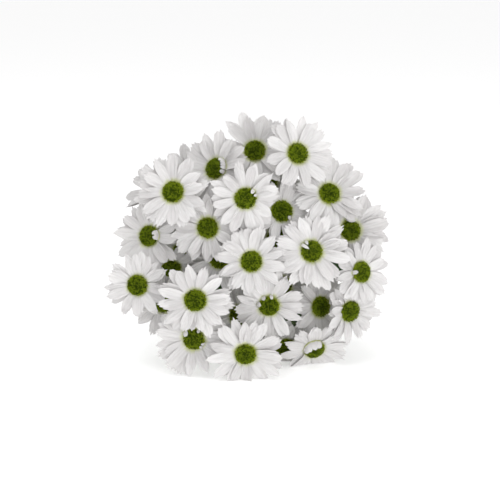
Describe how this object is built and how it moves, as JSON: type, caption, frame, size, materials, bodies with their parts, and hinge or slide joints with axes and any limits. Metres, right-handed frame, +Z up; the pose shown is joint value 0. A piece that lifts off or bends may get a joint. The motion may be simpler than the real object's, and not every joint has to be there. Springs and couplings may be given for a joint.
{
  "type": "bunch of chrysanthemums",
  "caption": "Bunch of cut spray chrysanthemums: a dome of white daisy-like flowers with green discs on leafy branched stems held by an elastic band, lying down.",
  "frame": {"origin": "middle of the underside of the bunch's box, on the surface that it lies on", "axes": "+Z up, +Y from the flowers to the cut stem ends, +X to the right of the dome as seen from the flowers' side"},
  "size_m": [0.292, 0.4976, 0.2561],
  "materials": {
    "petal": "soft matte white, faintly grooved",
    "stem": "fresh green, satin",
    "leaf": "dark green, soft matte",
    "band": "matte tan rubber"
  },
  "bodies": {
    "root": {"flower_01_petals": "petal", "flower_02_petals": "petal", "flower_03_petals": "petal", "flower_04_petals": "petal", "flower_05_petals": "petal", "flower_06_petals": "petal", "flower_07_petals": "petal", "flower_08_petals": "petal", "flower_09_petals": "petal", "flower_10_petals": "petal", "flower_11_petals": "petal", "flower_12_petals": "petal", "flower_13_petals": "petal", "flower_14_petals": "petal", "flower_15_petals": "petal", "flower_16_petals": "petal", "flower_17_petals": "petal", "flower_18_petals": "petal", "flower_19_petals": "petal", "flower_20_petals": "petal", "flower_21_petals": "petal", "flower_22_petals": "petal", "flower_23_petals": "petal", "flower_24_petals": "petal", "flower_25_petals": "petal", "flower_26_petals": "petal", "flower_27_petals": "petal", "flower_28_petals": "petal", "flower_29_petals": "petal", "flower_30_petals": "petal", "flower_31_petals": "petal", "flower_32_petals": "petal", "flower_33_petals": "petal", "flower_34_petals": "petal", "flower_35_petals": "petal", "spray_1_stem": "stem", "spray_2_stem": "stem", "spray_3_stem": "stem", "spray_4_stem": "stem", "spray_5_stem": "stem", "spray_6_stem": "stem", "leaf_01": "leaf", "leaf_02": "leaf", "leaf_03": "leaf", "leaf_04": "leaf", "leaf_05": "leaf", "leaf_06": "leaf", "leaf_07": "leaf", "leaf_08": "leaf", "leaf_09": "leaf", "leaf_10": "leaf", "leaf_11": "leaf", "leaf_12": "leaf", "leaf_13": "leaf", "leaf_14": "leaf", "elastic_band": "band"}
  },
  "joints": []
}
